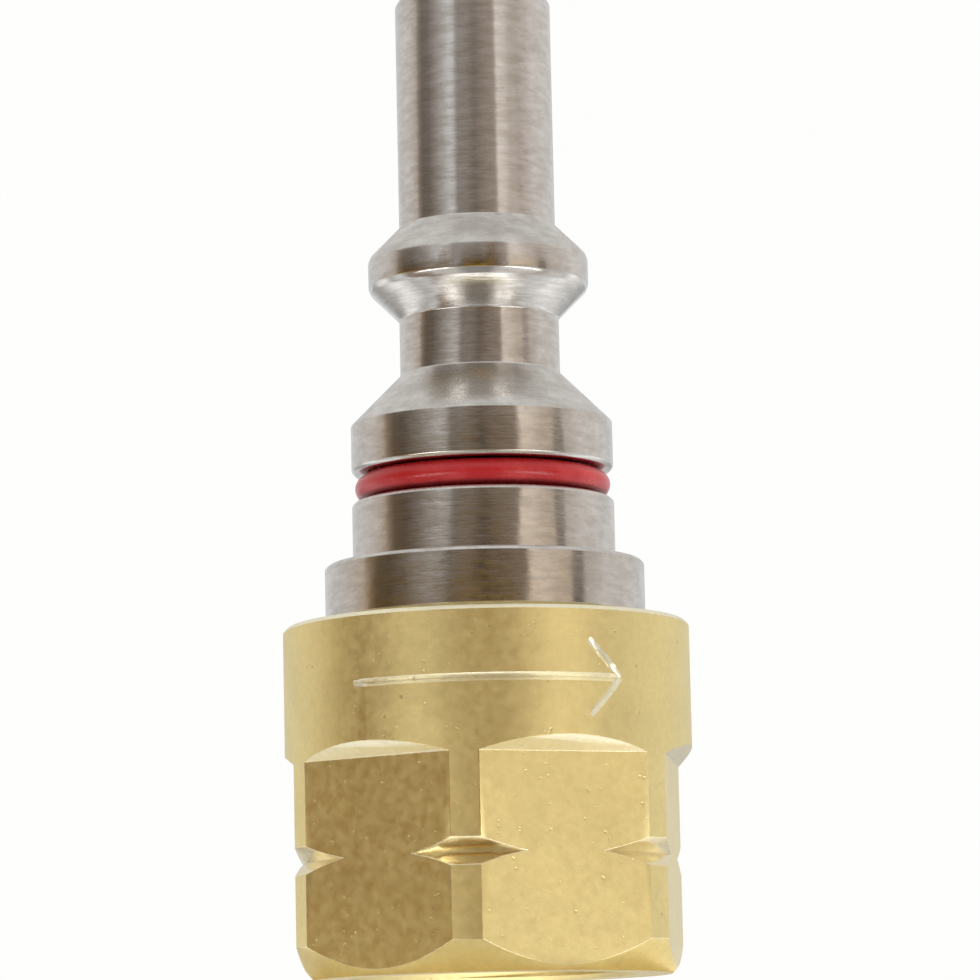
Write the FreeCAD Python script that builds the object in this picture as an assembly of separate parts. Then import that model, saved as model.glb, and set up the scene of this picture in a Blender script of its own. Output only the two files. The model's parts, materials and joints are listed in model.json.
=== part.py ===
import FreeCAD, Part
import math
import os

# Quick coupling plug for gas hose: a stainless pin that snaps into a coupling, and a brass swivel nut
# with a left-hand pipe thread. Millimetres, Z along the axis, the nut's mouth on Z = 0, the nose up.

# Pipe thread in the nut, modelled at its core diameter
thread_major = 13.157
thread_pitch = 1.337
thread_form = 0.640327  # depth of this thread form for each millimetre of pitch
thread_length = 6.4
thread_room = 0.2  # radial room that the countersink and the relief leave over the thread's root

# Union nut, a round bar with six milled flats
nut_wall = 1.9215  # brass between the thread's root and the flats, for a 17 mm spanner
flat_depth = 0.95  # how deep the flats are milled into the bar
nut_height = 16.25
flat_height = 9.75
flat_count = 6
runout_angle = 35.0  # slope of the faces where the cutter leaves the bar, above the flats
mouth_chamfer_width = 1.17
mouth_chamfer_height = 1.4
nut_edge = 0.2

# Notch turned across the corners, the sign of a left-hand thread
notch_height = 5.3
notch_depth = 0.75
notch_angle = 80.0

# Swivel: the tail of the pin turns in the nut and is kept by an open wire ring
tail_diameter = 11.0
swivel_clearance = 0.08
flange_gap = 0.15
wire_diameter = 1.2
wire_play = 0.1  # each side of the wire, along the axis
wire_float = 0.05  # between the wire and the floor of the nut's groove
wire_bite = 0.55  # depth of the nut's groove
wire_sink = 1.3  # depth of the tail's groove, which takes the whole wire while the nut is pushed on
wire_opening = 14.0  # degrees left open between the ends of the wire
wire_opening_side = 90.0  # degrees from +X, so that the opening is at the back
guide_land = 1.25  # bore of the nut above the wire's groove
tail_land = 1.2  # tail below the wire's groove
guide_reach = 1.4  # bore of the nut below the centre of the ball seat

# Gas bore and the flat rims at its two ends
bore_diameter = 4.5
seat_rim = 0.75
nose_rim = 0.85
bore_edge = 0.25

# Pin above the nut, from the flange to the nose
flange_diameter = 14.9
flange_height = 2.75
land_diameter = 12.25
lower_land_height = 2.97
upper_land_height = 2.25
neck_diameter = 7.5
neck_height = 2.65
catch_diameter = 10.35
catch_height = 1.47
nose_diameter = 7.35
nose_height = 10.7
nose_taper_height = 1.0
cone_angle = 45.0  # of the three cones, from the axis
pin_edge = 0.15

# Red marking ring, sunk a little below the land
ring_section = 1.27
ring_recess = 0.155
ring_play = 0.05  # each side of the ring, along the axis
ring_seat = 0.02  # between the ring and the floor of its groove

# Flats that stand for the two round sections
ring_sides = 12
wire_sides = 8

# Radii of the nut's outside
across_flats = thread_major + 2 * nut_wall
flat_radius = across_flats / 2
bar_radius = flat_radius + flat_depth

# Heights inside the nut
thread_depth = thread_form * thread_pitch
core_radius = thread_major / 2 - thread_depth
relief_radius = thread_major / 2 + thread_room
thread_bottom = relief_radius - core_radius
thread_top = thread_bottom + thread_length
wire_top = nut_height - guide_land
wire_bottom = wire_top - wire_diameter - 2 * wire_play
ball_height = wire_bottom - tail_land
guide_bottom = ball_height - guide_reach

# Radii of the swivel
tail_radius = tail_diameter / 2
guide_radius = tail_radius + swivel_clearance
wire_floor = guide_radius + wire_bite
wire_center = wire_floor - wire_float - wire_diameter / 2

# Radii of the gas bore and of the marking ring
bore_radius = bore_diameter / 2
ring_center = land_diameter / 2 - ring_recess - ring_section / 2
ring_floor = ring_center - ring_section / 2 - ring_seat

# Heights along the pin
cone_slope = math.tan(math.radians(cone_angle))
flange_bottom = nut_height + flange_gap
flange_top = flange_bottom + flange_height
ring_bottom = flange_top + lower_land_height
ring_top = ring_bottom + ring_section + 2 * ring_play
land_top = ring_top + upper_land_height
neck_bottom = land_top + (land_diameter - neck_diameter) / 2 / cone_slope
neck_top = neck_bottom + neck_height
catch_bottom = neck_top + (catch_diameter - neck_diameter) / 2 / cone_slope
catch_top = catch_bottom + catch_height
nose_bottom = catch_top + (catch_diameter - nose_diameter) / 2 / cone_slope
nose_top = nose_bottom + nose_height
nose_end = nose_top + nose_taper_height

AXIS = FreeCAD.Vector(0, 0, 1)
ORIGIN = FreeCAD.Vector(0, 0, 0)
EDGE_SHARE = 1 / 3  # the most that an edge break takes of a wall it is cut on


def at(radius, height):
    """A point of a turned outline, in the XZ plane."""
    return FreeCAD.Vector(radius, 0, height)


def broken_edges(corners):
    """Points of an outline with corners (radius, height) or (radius, height, width of the edge break)."""
    points = [at(*corner[:2]) for corner in corners]
    outline = []
    for index, corner in enumerate(corners):
        point = points[index]
        if len(corner) == 2:
            outline.append(point)
            continue
        before = points[index - 1] - point
        after = points[(index + 1) % len(points)] - point
        width = min(corner[2], before.Length * EDGE_SHARE, after.Length * EDGE_SHARE)
        outline.append(point + before.normalize() * width)
        outline.append(point + after.normalize() * width)
    return outline


def straight_edges(points):
    """Line edges through a chain of points."""
    return [Part.makeLine(start, end) for start, end in zip(points, points[1:])]


def turned(edges):
    """The solid that a closed outline sweeps in one turn about the axis."""
    return Part.Face(Part.Wire(edges)).revolve(ORIGIN, AXIS, 360)


def round_section(radius, height, width, sides):
    """A round section drawn with flats that width apart, centred at that radius and height."""
    corner = width / 2 / math.cos(math.pi / sides)
    turns = [math.pi * (2 * side + 1) / sides for side in range(sides)]
    points = [at(radius + corner * math.cos(turn), height + corner * math.sin(turn)) for turn in turns]
    return Part.Face(Part.Wire(straight_edges(points + points[:1])))


def plug_body():
    """The stainless pin, one turned piece from the ball seat inside the nut to the nose."""
    seat_radius = bore_radius + seat_rim
    seat_height = ball_height - math.sqrt(tail_radius**2 - seat_radius**2)
    flange_radius = flange_diameter / 2
    land_radius = land_diameter / 2
    neck_radius = neck_diameter / 2
    catch_radius = catch_diameter / 2
    wire_seat = tail_radius - wire_sink
    tail = [
        (tail_radius, ball_height),
        (tail_radius, wire_bottom),
        (wire_seat, wire_bottom),
        (wire_seat, wire_top),
        (tail_radius, wire_top),
        (tail_radius, flange_bottom),
    ]
    flange = [
        (flange_radius, flange_bottom, pin_edge),
        (flange_radius, flange_top, pin_edge),
    ]
    land = [
        (land_radius, flange_top),
        (land_radius, ring_bottom, pin_edge),
        (ring_floor, ring_bottom),
        (ring_floor, ring_top),
        (land_radius, ring_top, pin_edge),
        (land_radius, land_top),
    ]
    catch = [
        (neck_radius, neck_bottom),
        (neck_radius, neck_top),
        (catch_radius, catch_bottom, pin_edge),
        (catch_radius, catch_top, pin_edge),
    ]
    nose = [
        (nose_diameter / 2, nose_bottom),
        (nose_diameter / 2, nose_top),
        (bore_radius + nose_rim, nose_end),
    ]
    bore = [
        (bore_radius, nose_end, bore_edge),
        (bore_radius, seat_height, bore_edge),
        (seat_radius, seat_height),
    ]
    points = broken_edges(tail + flange + land + catch + nose + bore)
    middle = math.atan2(ball_height - seat_height, seat_radius) / 2
    ball_middle = at(tail_radius * math.cos(middle), ball_height - tail_radius * math.sin(middle))
    ball = Part.Arc(points[-1], ball_middle, points[0]).toShape()
    return turned(straight_edges(points) + [ball])


def flat_cutter():
    """What the milling cutter takes off for one flat, with its sloping run-out above."""
    reach = flat_radius + 2 * flat_depth
    runout = (reach - flat_radius) * math.tan(math.radians(runout_angle))
    side = [
        at(flat_radius, -flat_depth),
        at(reach, -flat_depth),
        at(reach, flat_height + runout),
        at(flat_radius, flat_height),
    ]
    face = Part.Face(Part.Wire(straight_edges(side + side[:1])))
    face.translate(FreeCAD.Vector(0, -bar_radius, 0))
    return face.extrude(FreeCAD.Vector(0, 2 * bar_radius, 0))


def union_nut():
    """The brass nut: turned bar with bore, relief and wire groove, then the flats milled on."""
    notch_half = notch_depth * math.tan(math.radians(notch_angle / 2))
    outside = [
        (bar_radius - mouth_chamfer_width, 0),
        (bar_radius, mouth_chamfer_height),
        (bar_radius, notch_height - notch_half),
        (bar_radius - notch_depth, notch_height),
        (bar_radius, notch_height + notch_half),
        (bar_radius, nut_height, nut_edge),
    ]
    inside = [
        (guide_radius, nut_height, nut_edge),
        (guide_radius, wire_top),
        (wire_floor, wire_top),
        (wire_floor, wire_bottom),
        (guide_radius, wire_bottom),
        (guide_radius, guide_bottom),
        (relief_radius, guide_bottom),
        (relief_radius, thread_top),
        (core_radius, thread_top),
        (core_radius, thread_bottom),
        (relief_radius, 0),
    ]
    points = broken_edges(outside + inside)
    nut = turned(straight_edges(points + points[:1]))
    for index in range(flat_count):
        cutter = flat_cutter()
        cutter.rotate(ORIGIN, AXIS, index * 360 / flat_count)
        nut = nut.cut(cutter)
    return nut


def marking_ring():
    """The red ring in the groove of the land."""
    section = round_section(ring_center, (ring_bottom + ring_top) / 2, ring_section, ring_sides)
    return section.revolve(ORIGIN, AXIS, 360)


def retaining_ring():
    """The open ring of spring wire, half in the tail's groove and half in the nut's."""
    section = round_section(wire_center, (wire_bottom + wire_top) / 2, wire_diameter, wire_sides)
    ring = section.revolve(ORIGIN, AXIS, 360 - wire_opening)
    ring.rotate(ORIGIN, AXIS, wire_opening_side + wire_opening / 2)
    return ring


pieces = {
    "plug_body": plug_body,
    "marking_ring": marking_ring,
    "union_nut": union_nut,
    "retaining_ring": retaining_ring,
}

os.makedirs("parts", exist_ok=True)
for name, make in pieces.items():
    solid = make()
    solid.exportStep(f"parts/{name}.step")
    print(f"{name}: valid {solid.isValid()}, {len(solid.Solids)} solid, {solid.Volume:.1f} mm3")
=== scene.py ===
"""Dresses a quick coupling plug: turned steel pin, red marking ring, brass swivel nut, and a light tent."""
import json
import math

import bmesh
import bpy
from bpy.props import FloatProperty, FloatVectorProperty, PointerProperty
from mathutils import Matrix, Vector


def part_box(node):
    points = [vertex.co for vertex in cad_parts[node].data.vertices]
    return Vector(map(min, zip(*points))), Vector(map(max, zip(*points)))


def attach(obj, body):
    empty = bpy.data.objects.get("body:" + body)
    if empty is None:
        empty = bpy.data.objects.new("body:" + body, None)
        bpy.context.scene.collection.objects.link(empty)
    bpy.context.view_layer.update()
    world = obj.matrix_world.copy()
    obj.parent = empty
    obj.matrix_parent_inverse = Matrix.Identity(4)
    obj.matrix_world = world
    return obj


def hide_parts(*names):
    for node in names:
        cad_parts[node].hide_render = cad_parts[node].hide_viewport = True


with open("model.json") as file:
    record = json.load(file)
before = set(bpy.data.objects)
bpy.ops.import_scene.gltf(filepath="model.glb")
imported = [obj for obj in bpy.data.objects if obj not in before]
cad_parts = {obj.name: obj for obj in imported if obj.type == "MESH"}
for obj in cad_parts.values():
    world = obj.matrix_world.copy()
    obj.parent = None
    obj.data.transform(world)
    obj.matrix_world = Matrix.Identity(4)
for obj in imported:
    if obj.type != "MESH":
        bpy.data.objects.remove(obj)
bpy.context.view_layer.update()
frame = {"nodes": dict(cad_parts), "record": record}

bl_info = {
    "name": "Quick Coupling Plug",
    "version": (1, 0, 0),
    "blender": (4, 5, 0),
    "location": "View3D > Sidebar > Coupling Plug",
    "description": "Finishes the pin, the marking ring and the swivel nut of a coupling plug",
    "category": "Object",
}

MM = 0.001
WELD = 1e-7  # corners nearer than this are one
TURNED, MILLED, BRIGHT_AND_PAINTED_HIGHLIGHT, RUBBED = range(4)  # finishes of the nut's faces

mounts = {mount["name"]: mount for mount in frame["record"]["mounts"]}
thread_dims = mounts["nut_thread"]["dims"]
ring_low, ring_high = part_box("marking_ring")
nut_low, nut_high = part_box("union_nut")

# Thread form of a pipe thread: a 55 degree V whose crest and root each lose a sixth of its height
THREAD_FLANK = math.radians(27.5)
THREAD_ROOT_SHARE = 1 / 6
THREAD_STEPS = 72  # sections of the thread in one turn
TAP_START = 0.15 * MM  # how far inside the core the tap's V begins
TAP_EXTRA_TURNS = 2.0  # turns beyond the thread, so that the tap passes both its ends

# Stamped strokes
STROKE_STEP = 0.5 * MM  # longest section of a stroke, so that it bends round the collar
STROKE_PROUD = 0.05 * MM  # how far a stroke's cutter stands out of the collar
STROKE_END = 0.45  # depth of a stroke's ends, as a share of its depth
STROKE_FLOOR = 0.1  # width of a stroke's floor, as a share of its width

# Edges
ROUND_FROM = math.radians(20)  # edges that turn by more than this are rounded
ROUND_SEGMENTS = 2
SHARP_FROM = math.radians(40)  # edges of the cut nut that turn by more than this stay sharp

# What tells the nut's faces apart
BORED_WITHIN = 8.0 * MM  # radius that holds all bored faces
BAR_EDGE = 0.2 * MM  # depth of the bar's soft edge above the flats
EDGE_RISE = 1.0 * MM  # how far above the flats' top that edge reaches
CHAMFER_TOP = 2.0 * MM  # sloping faces above this height are the notch's
STAMP_SINK = 0.02 * MM  # faces this far inside the bar are stamped
BAR_SKIN = 0.01 * MM  # faces this near the bar's radius are the bar's own
FLAT_TURN = math.radians(0.2)  # how far a flat's normal may leave its direction
FLAT_AREA = 0.5 * MM * MM  # smallest face of a flat
END_FACE, RUNOUT, SLOPING, UPRIGHT = 0.9, 0.75, 0.5, 0.1  # upward part of a face's normal

# Marking ring
RING_STEPS, RING_SIDES = 256, 28  # sections round the ring, and corners of each
RING_WAVES = ((2, 0.6, 0.4), (5, 0.4, 0.0))  # waves in one turn, share of the waver, start in radians
# Painted shade on the marking ring: its foot is darkened where it lies in the groove
FOOT_SHADE_TOP, FOOT_SHADE_FULL = 0.30, 0.12  # millimetres above the ring's foot where the painted shade begins and is full
FOOT_SHADE = 0.75  # how much of the rubber the full painted shade covers

# Finishes
OUTLINE_FACTOR = 1.7  # keeps radius and height from cancelling out on cones, where they change alike
MARKS_ALONG, MARKS_ACROSS = 0.8, 3.2  # tool marks in a millimetre, along and across the lathe lines
ACROSS_LINES = 0.25  # a quarter turn, from along the tool lines to across them
STEEL_RELIEF, RUBBER_GRAIN, WIRE_LINES = 0.0006 * MM, 0.003 * MM, 0.001 * MM  # depths
TARNISHED, WIRE_DULLED = 0.87, 0.6  # brightness of dull patches beside clean metal
BRASS_FINISHES = [  # name, colour, dullness, tool lines, depth of the tumbled grain
    ("turned_brass", "brass", 0.31, 0.4, 0.005 * MM),
    ("milled_brass", "brass", 0.26, 0.1, 0.005 * MM),
    # Pale brass: partly cut bright, partly a painted highlight
    ("bright_brass", "brass_bright_and_painted_highlight", 0.28, 0.1, 0.006 * MM),
    ("rubbed_brass", "brass_edge", 0.13, 0.1, 0.002 * MM),
]

# Floor and camera
FLOOR_CELLS, RIM_SEGMENTS = 8, 96
FLOOR_PALER = 1.02  # brightness of the floor's paler clouds
FLOOR_WHOLE = 0.2  # share of the floor's reach where it has not begun to fade
FOOT_INSIDE = 1.2 * MM  # how far under the nut the mirrored floor reaches
NEAR_CLIP = 10 * MM

# Lamp that throws the shadow
SHADOW_LAMP = 1.2  # strength
SHADOW_SOFT = math.radians(25)  # width of the lamp as the plug sees it
SHADOW_LEAN, SHADOW_TURN = math.radians(35), math.radians(130)  # off the upright, and round from the camera

# The tent's wall as the plug sees it: degrees to the right of the camera, brightness, warmth from 0 to 1
TENT_WALL = [
    (-180, 0.58, 0.0),
    (-160, 0.74, 0.0),
    (-120, 0.77, 0.1),
    (-108, 0.73, 0.2),
    (-97, 0.60, 0.3),
    (-91, 0.30, 0.5),
    (-84, 0.18, 0.5),
    (-72, 0.20, 0.4),
    (-60, 0.36, 0.3),
    (-48, 0.56, 0.1),
    (-38, 0.78, 0.05),
    (-32, 0.74, 0.05),
    (-26, 0.36, 0.2),
    (-12, 0.33, 0.35),
    (0, 0.24, 0.5),
    (12, 0.34, 0.5),
    (24, 0.40, 0.45),
    (30, 0.46, 0.4),
    (34, 0.98, 0.25),
    (44, 0.86, 0.25),
    (54, 0.66, 0.3),
    (66, 0.62, 0.35),
    (84, 0.72, 0.25),
    (96, 0.82, 0.15),
    (120, 0.84, 0.1),
    (160, 0.76, 0.0),
    (180, 0.58, 0.0),
]
# The same for the foot of the wall, which is warmer and darker
TENT_SKIRT = [
    (-180, 0.58, 0.0),
    (-160, 0.74, 0.0),
    (-120, 0.70, 0.15),
    (-108, 0.66, 0.3),
    (-97, 0.58, 0.5),
    (-91, 0.28, 0.8),
    (-84, 0.12, 0.95),
    (-72, 0.07, 0.95),
    (-60, 0.11, 0.85),
    (-50, 0.21, 0.65),
    (-40, 0.24, 0.55),
    (-34, 0.22, 0.65),
    (-26, 0.11, 0.85),
    (-12, 0.13, 0.9),
    (0, 0.02, 1.0),
    (12, 0.09, 1.0),
    (26, 0.13, 1.0),
    (30, 0.18, 0.9),
    (34, 0.90, 0.55),
    (48, 0.80, 0.55),
    (64, 0.62, 0.6),
    (67, 0.13, 0.8),
    (74, 0.13, 0.8),
    (77, 0.58, 0.35),
    (96, 0.75, 0.18),
    (120, 0.77, 0.12),
    (160, 0.74, 0.0),
    (180, 0.58, 0.0),
]
# The same for the table's far edge, level with the plug: warm in front and, below a warmth of 0, cool behind
TABLE_EDGE = [
    (-180, 0.80, -0.15),
    (-160, 0.84, -0.15),
    (-106, 0.82, -0.1),
    (-94, 0.60, 0.9),
    (-75, 0.48, 1.0),
    (-50, 0.36, 1.0),
    (-36, 0.20, 1.0),
    (-24, 0.48, 1.0),
    (0, 0.90, 1.0),
    (20, 0.64, 0.86),
    (32, 0.46, 0.30),
    (46, 0.46, 0.0),
    (70, 0.62, 0.0),
    (100, 0.80, -0.15),
    (180, 0.80, -0.15),
]
# The same for the table in front of that
TABLE_TOP = [
    (-180, 0.62, 0.0),
    (-165, 0.75, 0.0),
    (-150, 0.46, 0.1),
    (-140, 0.58, 0.1),
    (-132, 1.00, 0.0),
    (-120, 1.22, 0.0),
    (-112, 0.92, 0.0),
    (-106, 0.58, 0.1),
    (-98, 0.76, 0.0),
    (-90, 0.86, 0.0),
    (-82, 0.40, 0.5),
    (-70, 0.34, 0.6),
    (-58, 0.38, 0.5),
    (-50, 0.75, 0.1),
    (-26, 0.80, 0.1),
    (-20, 0.58, 0.1),
    (-12, 0.38, 0.15),
    (14, 0.38, 0.15),
    (22, 0.80, 0.1),
    (45, 0.92, 0.1),
    (60, 0.85, 0.1),
    (76, 0.58, 0.2),
    (88, 0.84, 0.1),
    (106, 0.84, 0.0),
    (120, 1.22, 0.0),
    (132, 1.05, 0.0),
    (142, 0.80, 0.0),
    (152, 0.60, 0.0),
    (165, 0.46, 0.1),
    (180, 0.62, 0.0),
]
ROOM_TINT = (1.0, 0.62, 0.36)
SKIRT_TINT = (1.0, 0.62, 0.24)
WOOD_TINT = (1.0, 0.55, 0.03)
ROOF = (0.80, 0.79, 0.77)
TABLE_NEAR = (2.00, 1.99, 1.97)
# Elevations in degrees, from and to, over which one part of the tent turns into the next
SKIRT_TO_WALL = (6.3, 11.5)
WALL_TO_ROOF = (12, 45)
TOP_TO_NEAR = (-58, -74)
TOP_TO_EDGE = (-4, 0.5)
TENT_TO_TABLE = (6, 0)
LAMP = 4.8  # brightness of the two low lamps beside the camera
LAMP_TURN, LAMP_RISE = math.radians(48), math.radians(-15.2)
LAMP_WIDE, LAMP_HIGH = math.radians(22), math.radians(4)
LAMP_TILT = 0.18  # how much lower a lamp's outer end hangs, for each step outwards
LAMP_RIM, LAMP_CORE = 1.3, 0.6  # shares of a lamp's half size where its light begins and is full


def length(name, description, default):
    """A size in metres."""
    return FloatProperty(name=name, description=description, default=default, unit="LENGTH", precision=6)


def angle(name, description, degrees):
    """An angle, given in degrees."""
    return FloatProperty(name=name, description=description, default=math.radians(degrees), subtype="ANGLE")


def colour(name, description, default):
    """A linear colour."""
    return FloatVectorProperty(
        name=name, description=description, default=default, size=3, min=0.0, max=1.0, subtype="COLOR"
    )


class PlugSizes(bpy.types.PropertyGroup):
    """Small forms that the solids leave out."""

    pin_edge: length("Pin edges", "Rounding of the pin's turned edges", 0.05 * MM)
    nut_edge: length("Nut edges", "Rounding that tumbling left on the nut's edges", 0.15 * MM)
    flat_top: length("Flat height", "Top of the nut's milled flats", 9.75 * MM)
    thread_major: length("Thread diameter", "Major diameter of the nut's thread", 13.157 * MM)
    thread_pitch: length("Thread pitch", "Advance of the left-hand thread in one turn", 1.337 * MM)
    ring_waver: length("Ring waver", "How far the marking ring leaves its plane", 0.02 * MM)
    arrow_length: length("Arrow length", "Stamped arrow on the collar, along the rim", 13.0 * MM)
    arrow_height: length("Arrow head", "Height of the stamped arrow's head", 3.4 * MM)
    arrow_place: length("Arrow place", "Height of the arrow's shaft above the mouth", 13.0 * MM)
    stroke_width: length("Stroke width", "Width of a stamped stroke", 0.46 * MM)
    stroke_depth: length("Stroke depth", "Depth of a stamped stroke", 0.15 * MM)


class PlugColours(bpy.types.PropertyGroup):
    """Linear colours of the finishes."""

    steel: colour("Steel", "Clean turned stainless steel", (0.71, 0.695, 0.67))
    steel_stain: colour("Steel stain", "Handled and stained stainless steel", (0.55, 0.525, 0.49))
    steel_speck: colour("Steel specks", "Dark specks in the steel", (0.30, 0.28, 0.26))
    brass: colour("Brass", "Clean brass", (0.90, 0.75, 0.345))
    brass_edge: colour("Brass edges", "Brass that handling rubbed at the edges", (0.95, 0.82, 0.50))
    # Paler than real brass: partly brass cut bright, partly a painted highlight on the run-outs and stamped
    # strokes
    brass_bright_and_painted_highlight: colour("Bright brass", "Brass that a cutter or a stamp rubbed bright, paler still as a painted highlight", (1.0, 0.94, 0.70))
    brass_pit: colour("Brass pits", "Dark pits in the brass", (0.28, 0.19, 0.08))
    ring_red: colour("Ring red", "Red rubber of the marking ring", (0.55, 0.016, 0.022))
    ring_worn: colour("Ring worn", "Rubbed red rubber", (0.70, 0.05, 0.055))
    # Painted shade, near black, laid on the ring's foot in its groove
    ring_foot_shade: colour("Ring foot shade", "Painted shade on the ring's foot in its groove", (0.07, 0.005, 0.007))
    wire: colour("Wire", "Drawn spring wire", (0.42, 0.42, 0.43))
    floor: colour("Floor", "Pale studio floor", (0.92, 0.92, 0.91))
    backdrop: colour("Backdrop", "White seen behind the plug", (0.99, 0.99, 0.975))


class PlugStudio(bpy.types.PropertyGroup):
    """Camera and floor."""

    distance: length("Distance", "From the camera to the plug's axis, level", 203.9 * MM)
    eye_height: length("Eye height", "Camera above the nut's mouth", -6.6 * MM)
    azimuth: angle("Azimuth", "Camera to the right of the nut's front corner", 6.7)
    pitch: angle("Pitch", "Camera tilted up", 8.174)
    yaw: angle("Yaw", "Camera turned to the right of the axis", 0.095)
    roll: angle("Roll", "Camera turned clockwise about its view", 1.27)
    lens: FloatProperty(name="Lens", description="Focal length, in millimetres", default=161.63)
    floor_reach: length("Floor", "How far from the plug the floor is seen", 0.7)
    foot_reach: length("Foot reach", "How far round the nut the floor is mirrored in it", 0.9 * MM)
    floor_gap: length("Floor gap", "Room between the nut's mouth and the floor", 0.01 * MM)


def place(name, mesh_data, material, body, node):
    """A new piece on a body, in place of a CAD node."""
    piece = bpy.data.objects.new(name, mesh_data)
    bpy.context.scene.collection.objects.link(piece)
    mesh_data.shade_smooth()
    if material:
        mesh_data.materials.append(material)
    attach(piece, body)
    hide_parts(node)
    return piece


def soften(piece, width, finish=-1):
    """Rounds a piece's hard edges a little, with a finish of their own, and keeps large faces flat."""
    weld = piece.modifiers.new("join_faces", "WELD")
    weld.merge_threshold = WELD
    bevel = piece.modifiers.new("round_edges", "BEVEL")
    bevel.width = width
    bevel.segments = ROUND_SEGMENTS
    bevel.limit_method = "ANGLE"
    bevel.angle_limit = ROUND_FROM
    bevel.use_clamp_overlap = True
    bevel.material = finish
    piece.modifiers.new("shade_faces", "WEIGHTED_NORMAL")


def add(tree, kind, settings=None, values=None):
    """A new node with its settings, and its inputs set to numbers or linked to other nodes' outputs."""
    made = tree.nodes.new(kind)
    for name, value in (settings or {}).items():
        setattr(made, name, value)
    for name, value in (values or {}).items():
        if isinstance(value, bpy.types.NodeSocket):
            tree.links.new(value, made.inputs[name])
        else:
            made.inputs[name].default_value = value
    return made


def calc(tree, operation, first, second=0.0, third=0.0):
    """The output of a Math node."""
    made = add(tree, "ShaderNodeMath", {"operation": operation}, {0: first, 1: second, 2: third})
    return made.outputs[0]


def between(tree, value, low, high, out_low=0.0, out_high=1.0, smooth=False):
    """A value mapped from one range to another, held inside it."""
    settings = {"clamp": True, "interpolation_type": "SMOOTHSTEP" if smooth else "LINEAR"}
    values = {"Value": value, "From Min": low, "From Max": high, "To Min": out_low, "To Max": out_high}
    return add(tree, "ShaderNodeMapRange", settings, values).outputs["Result"]


def noise(tree, vector, scale, detail=3.0, rough=0.5):
    """Cloudy variation, with scale in features per millimetre."""
    values = {"Vector": vector, "Scale": scale, "Detail": detail, "Roughness": rough}
    return add(tree, "ShaderNodeTexNoise", {}, values).outputs["Fac"]


def lines(tree, across, scale, detail=2.0):
    """Random tool lines across a coordinate, with scale in lines per millimetre."""
    values = {"W": across, "Scale": scale, "Detail": detail, "Roughness": 0.6}
    return add(tree, "ShaderNodeTexNoise", {"noise_dimensions": "1D"}, values).outputs["Fac"]


def mix(tree, factor, first, second):
    """The colour between two colours."""
    made = add(tree, "ShaderNodeMix", {"data_type": "RGBA"}, {"Factor": factor})
    for name, value in (("A", first), ("B", second)):
        socket = next(s for s in made.inputs if s.name == name and s.type == "RGBA")
        if isinstance(value, bpy.types.NodeSocket):
            tree.links.new(value, socket)
        else:
            socket.default_value = (*value, 1.0)
    return next(s for s in made.outputs if s.type == "RGBA")


def bump(tree, height, depth):
    """A normal from a height of 0 to 1, where depth is its size in metres."""
    values = {"Height": height, "Distance": depth, "Strength": 1.0}
    return add(tree, "ShaderNodeBump", {}, values).outputs["Normal"]


def new_finish(name):
    """A material's tree, its shader, and the place on the piece in millimetres."""
    material = bpy.data.materials.new(name)
    material.use_nodes = True
    tree = material.node_tree
    shader = tree.nodes["Principled BSDF"]
    coordinates = add(tree, "ShaderNodeTexCoord").outputs["Object"]
    place_mm = add(tree, "ShaderNodeVectorMath", {"operation": "SCALE"}, {0: coordinates, "Scale": 1 / MM})
    return material, tree, shader, place_mm.outputs[0]


def along_outline(tree, place_mm):
    """A coordinate along a turned piece's outline, in millimetres, so that lines follow the lathe."""
    axes = add(tree, "ShaderNodeSeparateXYZ", {}, {0: place_mm})
    level = add(tree, "ShaderNodeCombineXYZ", {}, {"X": axes.outputs["X"], "Y": axes.outputs["Y"]})
    radius = add(tree, "ShaderNodeVectorMath", {"operation": "LENGTH"}, {0: level.outputs[0]})
    return calc(tree, "MULTIPLY_ADD", radius.outputs["Value"], OUTLINE_FACTOR, axes.outputs["Z"])


def round_the_axis(tree, shader, amount):
    """Stretches a turned piece's highlights across its tool lines."""
    tangent = add(tree, "ShaderNodeTangent", {"direction_type": "RADIAL", "axis": "Z"})
    tree.links.new(tangent.outputs[0], shader.inputs["Tangent"])
    shader.inputs["Anisotropic"].default_value = amount
    shader.inputs["Anisotropic Rotation"].default_value = ACROSS_LINES


def tool_marks(tree, place_mm, across):
    """Short marks that follow the lathe lines, about a millimetre long."""
    share = (MARKS_ALONG, MARKS_ALONG, 0.0)
    level = add(tree, "ShaderNodeVectorMath", {"operation": "MULTIPLY"}, {0: place_mm, 1: share})
    climb = add(tree, "ShaderNodeCombineXYZ", {}, {"Z": calc(tree, "MULTIPLY", across, MARKS_ACROSS)})
    spot = add(tree, "ShaderNodeVectorMath", {"operation": "ADD"}, {0: level.outputs[0], 1: climb.outputs[0]})
    return noise(tree, spot.outputs[0], scale=1.0, detail=4.0, rough=0.65)


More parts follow.
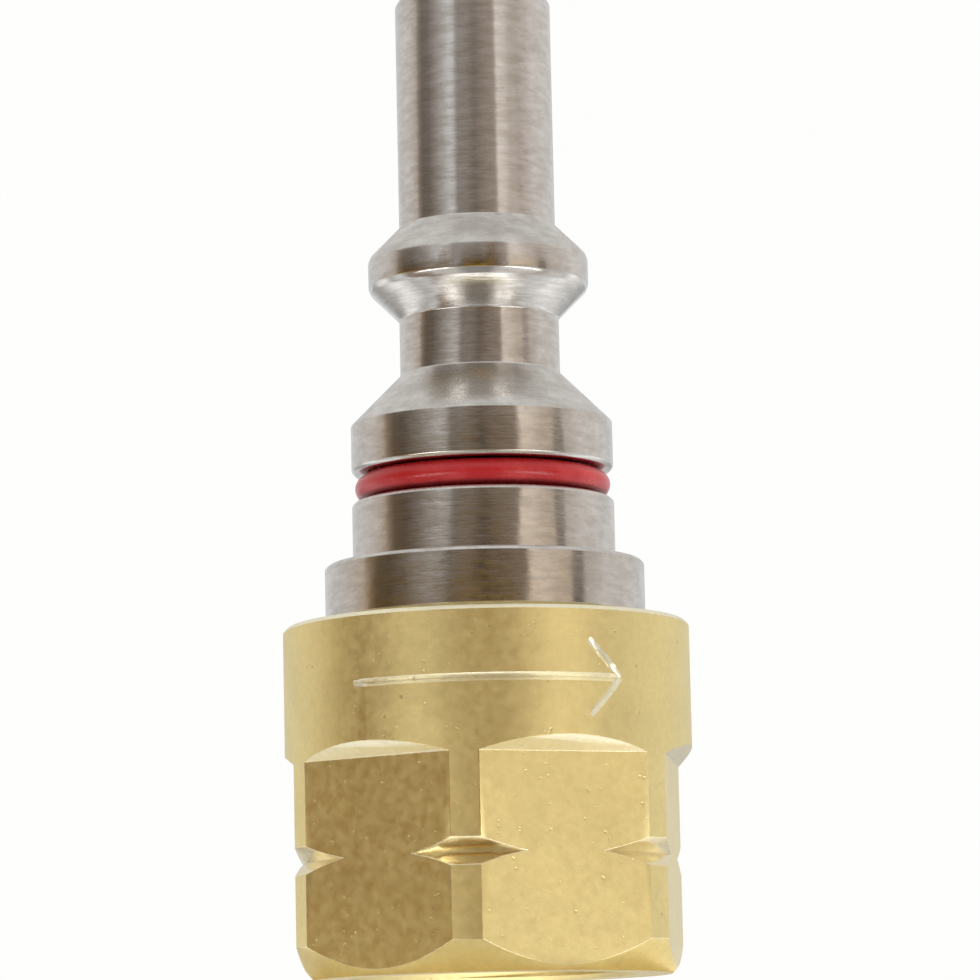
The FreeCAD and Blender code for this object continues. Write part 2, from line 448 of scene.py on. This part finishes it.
def turned_steel(colours):
    """Bright turned stainless steel with lathe lines, tool marks and handling stains."""
    material, tree, shader, place_mm = new_finish("turned_steel")
    stain = between(tree, noise(tree, place_mm, scale=1.1, detail=5.0, rough=0.65), 0.35, 0.7)
    waves = noise(tree, place_mm, scale=0.9, detail=2.0)
    drift = noise(tree, place_mm, scale=0.15)
    across = calc(tree, "MULTIPLY_ADD", drift, 0.15, along_outline(tree, place_mm))
    marks = between(tree, tool_marks(tree, place_mm, across), 0.36, 0.64)
    fine = lines(tree, across, scale=14.0, detail=3.0)
    coarse = lines(tree, across, scale=2.5)
    specks = between(tree, noise(tree, place_mm, scale=5.0, detail=2.0), 0.66, 0.74)
    worn = between(tree, calc(tree, "MULTIPLY_ADD", stain, 0.5, marks), 0.1, 1.2)
    tone = mix(tree, worn, colours.steel, colours.steel_stain)
    speckled = mix(tree, calc(tree, "MULTIPLY", specks, 0.25), tone, colours.steel_speck)
    tree.links.new(speckled, shader.inputs["Base Color"])
    rough = calc(tree, "MULTIPLY_ADD", fine, 0.06, between(tree, worn, 0.0, 1.0, 0.05, 0.13))
    # The cones that face the nose were cut with a coarser feed than the cylinders
    normal = add(tree, "ShaderNodeNewGeometry").outputs["True Normal"]
    facing = add(tree, "ShaderNodeSeparateXYZ", {}, {0: normal}).outputs["Z"]
    coarse_feed = between(tree, facing, 0.4, 0.6, 0.0, 0.14)
    tree.links.new(calc(tree, "ADD", rough, coarse_feed), shader.inputs["Roughness"])
    relief = calc(tree, "MULTIPLY_ADD", waves, 14.0, calc(tree, "MULTIPLY_ADD", coarse, 2.0, fine))
    relief = calc(tree, "MULTIPLY_ADD", marks, 2.0, relief)
    tree.links.new(bump(tree, relief, STEEL_RELIEF), shader.inputs["Normal"])
    shader.inputs["Metallic"].default_value = 1.0
    round_the_axis(tree, shader, 0.5)
    return material


def brass_finish(colours, name, tone_name, dullness, tool_lines, grain):
    """Brass with tarnish clouds, pits, nicks and tool lines; grain is the depth of its tumbled surface."""
    material, tree, shader, place_mm = new_finish(name)
    clean = getattr(colours, tone_name)
    clouds = between(tree, noise(tree, place_mm, scale=0.30, detail=6.0, rough=0.65), 0.38, 0.66)
    mottle = noise(tree, place_mm, scale=3.2, detail=4.0, rough=0.6)
    pits = between(tree, noise(tree, place_mm, scale=2.6, detail=1.0), 0.75, 0.82)
    nicks = between(tree, noise(tree, place_mm, scale=3.2, detail=1.5, rough=0.6), 0.69, 0.79)
    across = calc(tree, "MULTIPLY_ADD", mottle, 0.05, along_outline(tree, place_mm))
    fine = lines(tree, across, scale=9.0, detail=3.0)
    tarnish = between(tree, calc(tree, "MULTIPLY_ADD", clouds, 0.35, mottle), 0.35, 0.95)
    tone = mix(tree, tarnish, clean, [TARNISHED * channel for channel in clean])
    pitted = mix(tree, calc(tree, "MULTIPLY", pits, 0.5), tone, colours.brass_pit)
    tree.links.new(pitted, shader.inputs["Base Color"])
    # Tumbling left some patches smoother than others, which mirror the dark side of the tent deeper
    patches = noise(tree, place_mm, scale=2.0, detail=4.0, rough=0.6)
    patches = between(tree, patches, 0.32, 0.68, dullness + 0.02, dullness + 0.12)
    tree.links.new(patches, shader.inputs["Roughness"])
    relief = calc(tree, "MULTIPLY_ADD", fine, tool_lines, mottle)
    relief = calc(tree, "MULTIPLY_ADD", pits, -2.0, relief)
    relief = calc(tree, "MULTIPLY_ADD", nicks, -2.0, relief)
    tree.links.new(bump(tree, relief, grain), shader.inputs["Normal"])
    shader.inputs["Metallic"].default_value = 1.0
    return material


def red_rubber(colours):
    """Moulded red rubber, rubbed paler in places, with painted shade that darkens its foot where it lies in
    its groove.
    """
    material, tree, shader, place_mm = new_finish("red_rubber")
    rubbed = between(tree, noise(tree, place_mm, scale=0.8, detail=5.0, rough=0.6), 0.45, 0.75)
    grain = noise(tree, place_mm, scale=9.0, detail=3.0)
    height = add(tree, "ShaderNodeSeparateXYZ", {}, {0: place_mm}).outputs["Z"]
    # Painted shade: the rubber darkens towards its foot, where it lies in its groove
    foot = ring_low.z / MM
    foot_shade = between(tree, height, foot + FOOT_SHADE_TOP, foot + FOOT_SHADE_FULL, 0.0, FOOT_SHADE, smooth=True)
    tone = mix(tree, rubbed, colours.ring_red, colours.ring_worn)
    tree.links.new(mix(tree, foot_shade, tone, colours.ring_foot_shade), shader.inputs["Base Color"])
    rough = calc(tree, "MULTIPLY_ADD", grain, 0.2, between(tree, rubbed, 0.0, 1.0, 0.14, 0.24))
    tree.links.new(rough, shader.inputs["Roughness"])
    tree.links.new(bump(tree, grain, RUBBER_GRAIN), shader.inputs["Normal"])
    return material


def drawn_wire(colours):
    """Dull spring wire with lines along it from the drawing die."""
    material, tree, shader, place_mm = new_finish("drawn_wire")
    fine = lines(tree, along_outline(tree, place_mm), scale=22.0, detail=3.0)
    clouds = between(tree, noise(tree, place_mm, scale=1.5, detail=4.0), 0.4, 0.7)
    dull = tuple(WIRE_DULLED * channel for channel in colours.wire)
    tree.links.new(mix(tree, clouds, colours.wire, dull), shader.inputs["Base Color"])
    tree.links.new(between(tree, fine, 0.3, 0.7, 0.28, 0.42), shader.inputs["Roughness"])
    tree.links.new(bump(tree, fine, WIRE_LINES), shader.inputs["Normal"])
    shader.inputs["Metallic"].default_value = 1.0
    return material


def studio_floor(colours, studio):
    """A pale floor that fades into the backdrop, and that a camera under its level looks through."""
    material, tree, shader, place_mm = new_finish("studio_floor")
    shade = between(tree, noise(tree, place_mm, scale=0.02), 0.3, 0.7)
    paler = tuple(FLOOR_PALER * channel for channel in colours.floor)
    tree.links.new(mix(tree, shade, colours.floor, paler), shader.inputs["Base Color"])
    shader.inputs["Roughness"].default_value = 0.7
    away = add(tree, "ShaderNodeVectorMath", {"operation": "LENGTH"}, {0: place_mm}).outputs["Value"]
    reach = studio.floor_reach / MM
    faded = between(tree, away, FLOOR_WHOLE * reach, reach, smooth=True)
    from_under = add(tree, "ShaderNodeNewGeometry").outputs["Backfacing"]
    unseen = calc(tree, "MAXIMUM", from_under, faded)
    clear = add(tree, "ShaderNodeBsdfTransparent").outputs[0]
    seen = add(tree, "ShaderNodeMixShader", {}, {0: unseen, 1: shader.outputs[0], 2: clear})
    tree.links.new(seen.outputs[0], tree.nodes["Material Output"].inputs["Surface"])
    return material


def lofted(sections, closed_path):
    """A mesh through sections of equally many points, each a closed loop."""
    shape = bmesh.new()
    loops = [[shape.verts.new(point) for point in section] for section in sections]
    following = loops[1:] + loops[:1] if closed_path else loops[1:]
    for loop, after in zip(loops, following):
        for index, corner in enumerate(loop):
            following_corner = (index + 1) % len(loop)
            shape.faces.new((corner, loop[following_corner], after[following_corner], after[index]))
    if not closed_path:
        shape.faces.new(reversed(loops[0]))
        shape.faces.new(loops[-1])
    bmesh.ops.recalc_face_normals(shape, faces=shape.faces)
    return shape


def as_mesh(shape, name):
    """A mesh from a bmesh, which is then freed."""
    made = bpy.data.meshes.new(name)
    shape.to_mesh(made)
    shape.free()
    return made


def on_axis(radius, turn, height):
    """A point round the plug's axis."""
    return Vector((radius * math.cos(turn), radius * math.sin(turn), height))


def thread_cutter(sizes):
    """What the tap takes out of the nut: one V that winds left-handed past both ends of the thread."""
    core = thread_dims["r_mm"] * MM
    root = sizes.thread_major / 2
    pitch = sizes.thread_pitch
    root_half = THREAD_ROOT_SHARE * pitch / 2
    inside = core - TAP_START
    open_half = root_half + (root - inside) * math.tan(THREAD_FLANK)
    turns = thread_dims["length_mm"] * MM / pitch + TAP_EXTRA_TURNS
    top = mounts["nut_thread"]["pos_m"][2] + turns * pitch / 2
    sections = []
    for step in range(int(turns * THREAD_STEPS) + 1):
        turn = 2 * math.pi * step / THREAD_STEPS
        height = top - pitch * step / THREAD_STEPS
        corners = [(inside, -open_half), (root, -root_half), (root, root_half), (inside, open_half)]
        sections.append([on_axis(radius, turn, height + rise) for radius, rise in corners])
    return as_mesh(lofted(sections, closed_path=False), "thread_cutter")


def stamped_stroke(sizes, start, end, turn):
    """The wedge that one stamped stroke presses into the collar, from and to (along the rim, height)."""
    surface = nut_high.y
    start, end = Vector(start), Vector(end)
    across = (end - start).normalized().orthogonal() * sizes.stroke_width / 2
    steps = max(2, math.ceil((end - start).length / STROKE_STEP))
    front = turn - math.pi / 2
    sections = []
    for step in range(steps + 1):
        middle = start.lerp(end, step / steps)
        # A stroke's ends rise to the surface as the stamp's rounded edge does
        sink = sizes.stroke_depth * (STROKE_END if step in (0, steps) else 1.0)
        rim = [
            (middle + across, surface + STROKE_PROUD),
            (middle - across, surface + STROKE_PROUD),
            (middle - across * STROKE_FLOOR, surface - sink),
            (middle + across * STROKE_FLOOR, surface - sink),
        ]
        sections.append([on_axis(radius, front + spot.x / surface, spot.y) for spot, radius in rim])
    return as_mesh(lofted(sections, closed_path=False), "stroke")


def arrow_cutters(sizes, turn):
    """The strokes of a stamped arrow that points the way a left-hand nut is tightened."""
    half, head = sizes.arrow_length / 2, sizes.arrow_height / 2
    tip = (half, sizes.arrow_place)
    tails = [
        (-half, sizes.arrow_place),
        (half - head, sizes.arrow_place + head),
        (half - head, sizes.arrow_place - head),
    ]
    return [stamped_stroke(sizes, tail, tip, turn) for tail in tails]


def nut_finish(polygon, sizes):
    """Which finish a face of the nut has."""
    normal, spot = polygon.normal, polygon.center
    reach = spot.xy.length
    if polygon.material_index == RUBBED:
        # The cutter left the bar with a soft edge above the flats
        soft = reach > nut_high.y - BAR_EDGE and 0.0 < spot.z - sizes.flat_top < EDGE_RISE
        return TURNED if soft else RUBBED
    if reach < BORED_WITHIN or abs(normal.z) > END_FACE:
        return TURNED
    if abs(normal.z) > SLOPING and CHAMFER_TOP < spot.z < sizes.flat_top:
        return RUBBED  # the notch, cut with a form tool
    # Run-outs: brass cut bright by the cutter, in a paler colour that is partly a painted highlight
    if normal.z < -RUNOUT and spot.z > nut_high.z / 2:
        return BRIGHT_AND_PAINTED_HIGHLIGHT
    # Stamped strokes: the same pale brass, partly rubbed bright by the stamp and partly a painted highlight
    if abs(spot.z - sizes.arrow_place) < sizes.arrow_height and reach < nut_high.y - STAMP_SINK:
        return BRIGHT_AND_PAINTED_HIGHLIGHT
    sixth = math.pi / 3
    facing = math.atan2(normal.y, normal.x)
    flat = abs(facing - sixth * round(facing / sixth)) < FLAT_TURN
    return MILLED if flat and abs(normal.z) < UPRIGHT and polygon.area > FLAT_AREA else TURNED


def cut_nut(sizes, studio, finishes):
    """The CAD nut with rounded edges, a cut thread and two stamped arrows."""
    blank = bpy.data.objects.new("nut_blank", frame["nodes"]["union_nut"].data.copy())
    blank.data.attributes.remove(blank.data.attributes["custom_normal"])
    bpy.context.scene.collection.objects.link(blank)
    blank.data.materials.clear()
    for finish in finishes:
        blank.data.materials.append(finish)
    soften(blank, sizes.nut_edge, RUBBED)
    blank.modifiers.remove(blank.modifiers["shade_faces"])
    front, back = studio.azimuth, studio.azimuth + math.pi
    cutters = [thread_cutter(sizes), *arrow_cutters(sizes, front), *arrow_cutters(sizes, back)]
    tools = []
    for cutter in cutters:
        tool = bpy.data.objects.new(cutter.name, cutter)
        bpy.context.scene.collection.objects.link(tool)
        cut = blank.modifiers.new(cutter.name, "BOOLEAN")
        cut.operation = "DIFFERENCE"
        cut.solver = "EXACT"
        cut.object = tool
        tools.append(tool)
    made = bpy.data.meshes.new_from_object(blank.evaluated_get(bpy.context.evaluated_depsgraph_get()))
    for spare in [blank, *tools]:
        bpy.data.objects.remove(spare)
    for polygon in made.polygons:
        polygon.material_index = nut_finish(polygon, sizes)
    return made


def shade_bar(nut):
    """Gives what is left of the nut's round bar the bar's own normals, so that cuts leave no facets on it."""
    shaded = bpy.data.meshes.new_from_object(nut.evaluated_get(bpy.context.evaluated_depsgraph_get()))
    normals = [corner.vector.copy() for corner in shaded.corner_normals]
    for polygon in shaded.polygons:
        spots = [shaded.vertices[index].co for index in polygon.vertices]
        on_bar = all(abs(spot.xy.length - nut_high.y) < BAR_SKIN for spot in spots)
        if on_bar and abs(polygon.normal.z) < UPRIGHT:
            for corner, spot in zip(polygon.loop_indices, spots):
                normals[corner] = Vector((spot.x, spot.y, 0.0)).normalized()
    nut.modifiers.clear()
    nut.data = shaded
    shaded.normals_split_custom_set(normals)


class PLUG_OT_finish_pin(bpy.types.Operator):
    """Rounds the pin's edges and gives it turned steel"""

    bl_idname = "plug.finish_pin"
    bl_label = "Finish Pin"

    def execute(self, context):
        pin = frame["nodes"]["plug_body"]
        soften(pin, context.scene.plug_sizes.pin_edge)
        pin.material_slots[0].material = turned_steel(context.scene.plug_colours)
        return {"FINISHED"}


class PLUG_OT_fit_marking_ring(bpy.types.Operator):
    """Lays the round red ring in the groove of the land"""

    bl_idname = "plug.fit_marking_ring"
    bl_label = "Fit Marking Ring"

    def execute(self, context):
        sizes = context.scene.plug_sizes
        thick = (ring_high.z - ring_low.z) / 2 - sizes.ring_waver
        middle = (ring_high.z + ring_low.z) / 2
        reach = ring_high.x - thick
        sections = []
        sides = [2 * math.pi * side / RING_SIDES for side in range(RING_SIDES)]
        for step in range(RING_STEPS):
            turn = 2 * math.pi * step / RING_STEPS
            waver = sum(share * math.sin(waves * turn + start) for waves, share, start in RING_WAVES)
            height = middle + sizes.ring_waver * waver
            section = [(reach + thick * math.cos(side), height + thick * math.sin(side)) for side in sides]
            sections.append([on_axis(radius, turn, rise) for radius, rise in section])
        data = as_mesh(lofted(sections, closed_path=True), "marking_ring_round")
        rubber = red_rubber(context.scene.plug_colours)
        place("marking_ring_round", data, rubber, "plug", "marking_ring")
        return {"FINISHED"}


class PLUG_OT_cut_union_nut(bpy.types.Operator):
    """Cuts the nut's thread and stamps its arrows, and gives it turned and milled brass"""

    bl_idname = "plug.cut_union_nut"
    bl_label = "Cut Union Nut"

    def execute(self, context):
        colours = context.scene.plug_colours
        finishes = [brass_finish(colours, *settings) for settings in BRASS_FINISHES]
        data = cut_nut(context.scene.plug_sizes, context.scene.plug_studio, finishes)
        nut = place("union_nut_cut", data, None, "nut", "union_nut")
        data.set_sharp_from_angle(angle=SHARP_FROM)
        nut.modifiers.new("shade_faces", "WEIGHTED_NORMAL").keep_sharp = True
        shade_bar(nut)
        return {"FINISHED"}


class PLUG_OT_finish_wire_ring(bpy.types.Operator):
    """Gives the hidden retaining ring its drawn wire"""

    bl_idname = "plug.finish_wire_ring"
    bl_label = "Finish Wire Ring"

    def execute(self, context):
        ring = frame["nodes"]["retaining_ring"]
        ring.material_slots[0].material = drawn_wire(context.scene.plug_colours)
        return {"FINISHED"}


def lay_floor(colours, studio):
    """A pale floor just under the nut's mouth, and the part of it that the nut's foot mirrors."""
    sheet, rim = bmesh.new(), bmesh.new()
    bmesh.ops.create_grid(sheet, x_segments=FLOOR_CELLS, y_segments=FLOOR_CELLS, size=studio.floor_reach)
    for radius in (nut_high.y + studio.foot_reach, nut_high.y - FOOT_INSIDE):
        bmesh.ops.create_circle(rim, segments=RIM_SEGMENTS, radius=radius)
    bmesh.ops.bridge_loops(rim, edges=rim.edges[:])
    rim.normal_update()
    bmesh.ops.reverse_faces(rim, faces=[face for face in rim.faces if face.normal.z < 0])
    finish = studio_floor(colours, studio)
    for name, shape in (("studio_floor", sheet), ("floor_at_foot", rim)):
        floor = bpy.data.objects.new(name, as_mesh(shape, name))
        floor.location.z = nut_low.z - studio.floor_gap
        floor.data.materials.append(finish)
        bpy.context.scene.collection.objects.link(floor)
        # The tent's lower half stands for the rest of the floor in what the plug mirrors
        floor.visible_camera = name == "studio_floor"
        floor.visible_glossy = name == "floor_at_foot"
        floor.visible_diffuse = False
        floor.visible_shadow = False


def cloth(tree, turn, stops, tint):
    """The tent's colour round the plug, where a warmth of 1 takes the whole tint."""
    ramp = add(tree, "ShaderNodeValToRGB", {}, {0: between(tree, turn, -math.pi, math.pi)})
    elements = ramp.color_ramp.elements
    while len(elements) > 1:
        elements.remove(elements[0])
    for index, (degrees, bright, warm) in enumerate(stops):
        spot = (degrees + 180) / 360
        element = elements[0] if index == 0 else elements.new(spot)
        element.position = spot
        element.color = [*(bright * (1 + warm * (channel - 1)) for channel in tint), 1.0]
    return ramp.outputs[0]


def hang_lamp(studio):
    """A broad lamp behind the plug that throws its soft shadow on the floor."""
    lamp = bpy.data.objects.new("shadow_lamp", bpy.data.lights.new("shadow_lamp", "SUN"))
    lamp.data.energy = SHADOW_LAMP
    lamp.data.angle = SHADOW_SOFT
    lamp.rotation_euler = (SHADOW_LEAN, 0.0, studio.azimuth + SHADOW_TURN)
    # The metal mirrors the tent only
    lamp.visible_glossy = False
    bpy.context.scene.collection.objects.link(lamp)


def blend(tree, rise, band, first, second, smooth=False):
    """Two parts of the tent, where the first turns into the second over a band of elevations."""
    start, end = (math.radians(degrees) for degrees in band)
    return mix(tree, between(tree, rise, start, end, smooth=smooth), first, second)


def light_tent(colours, studio):
    """A world like a white tent: dark towards the camera, bright at the sides, behind and above."""
    world = bpy.data.worlds.new("light_tent")
    bpy.context.scene.world = world
    world.use_nodes = True
    tree = world.node_tree
    direction = add(tree, "ShaderNodeTexCoord").outputs["Generated"]
    axes = add(tree, "ShaderNodeSeparateXYZ", {}, {0: direction})
    front = calc(tree, "MULTIPLY", axes.outputs["Y"], -1.0)
    bearing = calc(tree, "SUBTRACT", calc(tree, "ARCTAN2", axes.outputs["X"], front), studio.azimuth)
    turn = calc(tree, "WRAP", bearing, math.pi, -math.pi)
    rise = calc(tree, "ARCSINE", axes.outputs["Z"])
    wall = cloth(tree, turn, TENT_WALL, ROOM_TINT)
    skirt = cloth(tree, turn, TENT_SKIRT, SKIRT_TINT)
    edge = cloth(tree, turn, TABLE_EDGE, WOOD_TINT)
    top = cloth(tree, turn, TABLE_TOP, ROOM_TINT)
    cloths = blend(tree, rise, SKIRT_TO_WALL, skirt, wall)
    cloths = blend(tree, rise, WALL_TO_ROOF, cloths, ROOF)
    table = blend(tree, rise, TOP_TO_NEAR, top, TABLE_NEAR, smooth=True)
    table = blend(tree, rise, TOP_TO_EDGE, table, edge, smooth=True)
    tent = blend(tree, rise, TENT_TO_TABLE, cloths, table, smooth=True)
    outwards = calc(tree, "SUBTRACT", calc(tree, "ABSOLUTE", turn), LAMP_TURN)
    upwards = calc(tree, "MULTIPLY_ADD", outwards, LAMP_TILT, calc(tree, "SUBTRACT", rise, LAMP_RISE))
    aside = calc(tree, "DIVIDE", outwards, LAMP_WIDE)
    above = calc(tree, "DIVIDE", upwards, LAMP_HIGH)
    squares = calc(tree, "MULTIPLY_ADD", aside, aside, calc(tree, "MULTIPLY", above, above))
    off_lamp = calc(tree, "SQRT", squares)
    lamps = between(tree, off_lamp, LAMP_RIM, LAMP_CORE, 0.0, LAMP, smooth=True)
    lit = add(tree, "ShaderNodeVectorMath", {"operation": "ADD"}, {0: tent, 1: lamps}).outputs[0]
    seen = mix(tree, add(tree, "ShaderNodeLightPath").outputs["Is Camera Ray"], lit, colours.backdrop)
    tree.links.new(seen, tree.nodes["Background"].inputs["Color"])


def set_camera(studio):
    """A camera at the photograph's place and angle."""
    camera = bpy.data.objects.new("camera", bpy.data.cameras.new("camera"))
    bpy.context.scene.collection.objects.link(camera)
    bpy.context.scene.camera = camera
    camera.data.lens = studio.lens
    camera.data.clip_start = NEAR_CLIP
    ahead = Vector((-math.sin(studio.azimuth), math.cos(studio.azimuth), 0.0))
    aside = Vector((math.cos(studio.azimuth), math.sin(studio.azimuth), 0.0))
    upright = Vector((0.0, 0.0, 1.0))
    level = math.cos(studio.yaw) * ahead + math.sin(studio.yaw) * aside
    view = math.cos(studio.pitch) * level + math.sin(studio.pitch) * upright
    right = view.cross(upright).normalized()
    top = right.cross(view)
    rolled_right = math.cos(studio.roll) * right - math.sin(studio.roll) * top
    rolled_top = math.cos(studio.roll) * top + math.sin(studio.roll) * right
    turned = Matrix((rolled_right, rolled_top, -view)).transposed()
    spot = nut_low.z * upright + studio.eye_height * upright - studio.distance * ahead
    camera.matrix_world = Matrix.Translation(spot) @ turned.to_4x4()


class PLUG_OT_set_studio(bpy.types.Operator):
    """Lays the floor, hangs the light tent and places the camera"""

    bl_idname = "plug.set_studio"
    bl_label = "Set Studio"

    def execute(self, context):
        colours, studio = context.scene.plug_colours, context.scene.plug_studio
        lay_floor(colours, studio)
        light_tent(colours, studio)
        hang_lamp(studio)
        set_camera(studio)
        context.scene.view_settings.view_transform = "Standard"
        return {"FINISHED"}


class PLUG_PT_sidebar(bpy.types.Panel):
    """Sizes, colours and steps of the coupling plug"""

    bl_label = "Coupling Plug"
    bl_space_type = "VIEW_3D"
    bl_region_type = "UI"
    bl_category = "Coupling Plug"

    def draw(self, context):
        for group in (context.scene.plug_sizes, context.scene.plug_colours, context.scene.plug_studio):
            box = self.layout.box()
            for name in group.__annotations__:
                box.prop(group, name)
        for step in STEPS:
            self.layout.operator(step.bl_idname)


GROUPS = {"plug_sizes": PlugSizes, "plug_colours": PlugColours, "plug_studio": PlugStudio}
STEPS = [
    PLUG_OT_finish_pin,
    PLUG_OT_fit_marking_ring,
    PLUG_OT_cut_union_nut,
    PLUG_OT_finish_wire_ring,
    PLUG_OT_set_studio,
]


def register():
    for group in [*GROUPS.values(), *STEPS, PLUG_PT_sidebar]:
        bpy.utils.register_class(group)
    for name, group in GROUPS.items():
        setattr(bpy.types.Scene, name, PointerProperty(type=group))


def unregister():
    for name in GROUPS:
        delattr(bpy.types.Scene, name)
    for group in reversed([*GROUPS.values(), *STEPS, PLUG_PT_sidebar]):
        bpy.utils.unregister_class(group)


def main():
    register()
    bpy.ops.plug.finish_pin()
    bpy.ops.plug.fit_marking_ring()
    bpy.ops.plug.cut_union_nut()
    bpy.ops.plug.finish_wire_ring()
    bpy.ops.plug.set_studio()


if __name__ == "__main__":
    main()
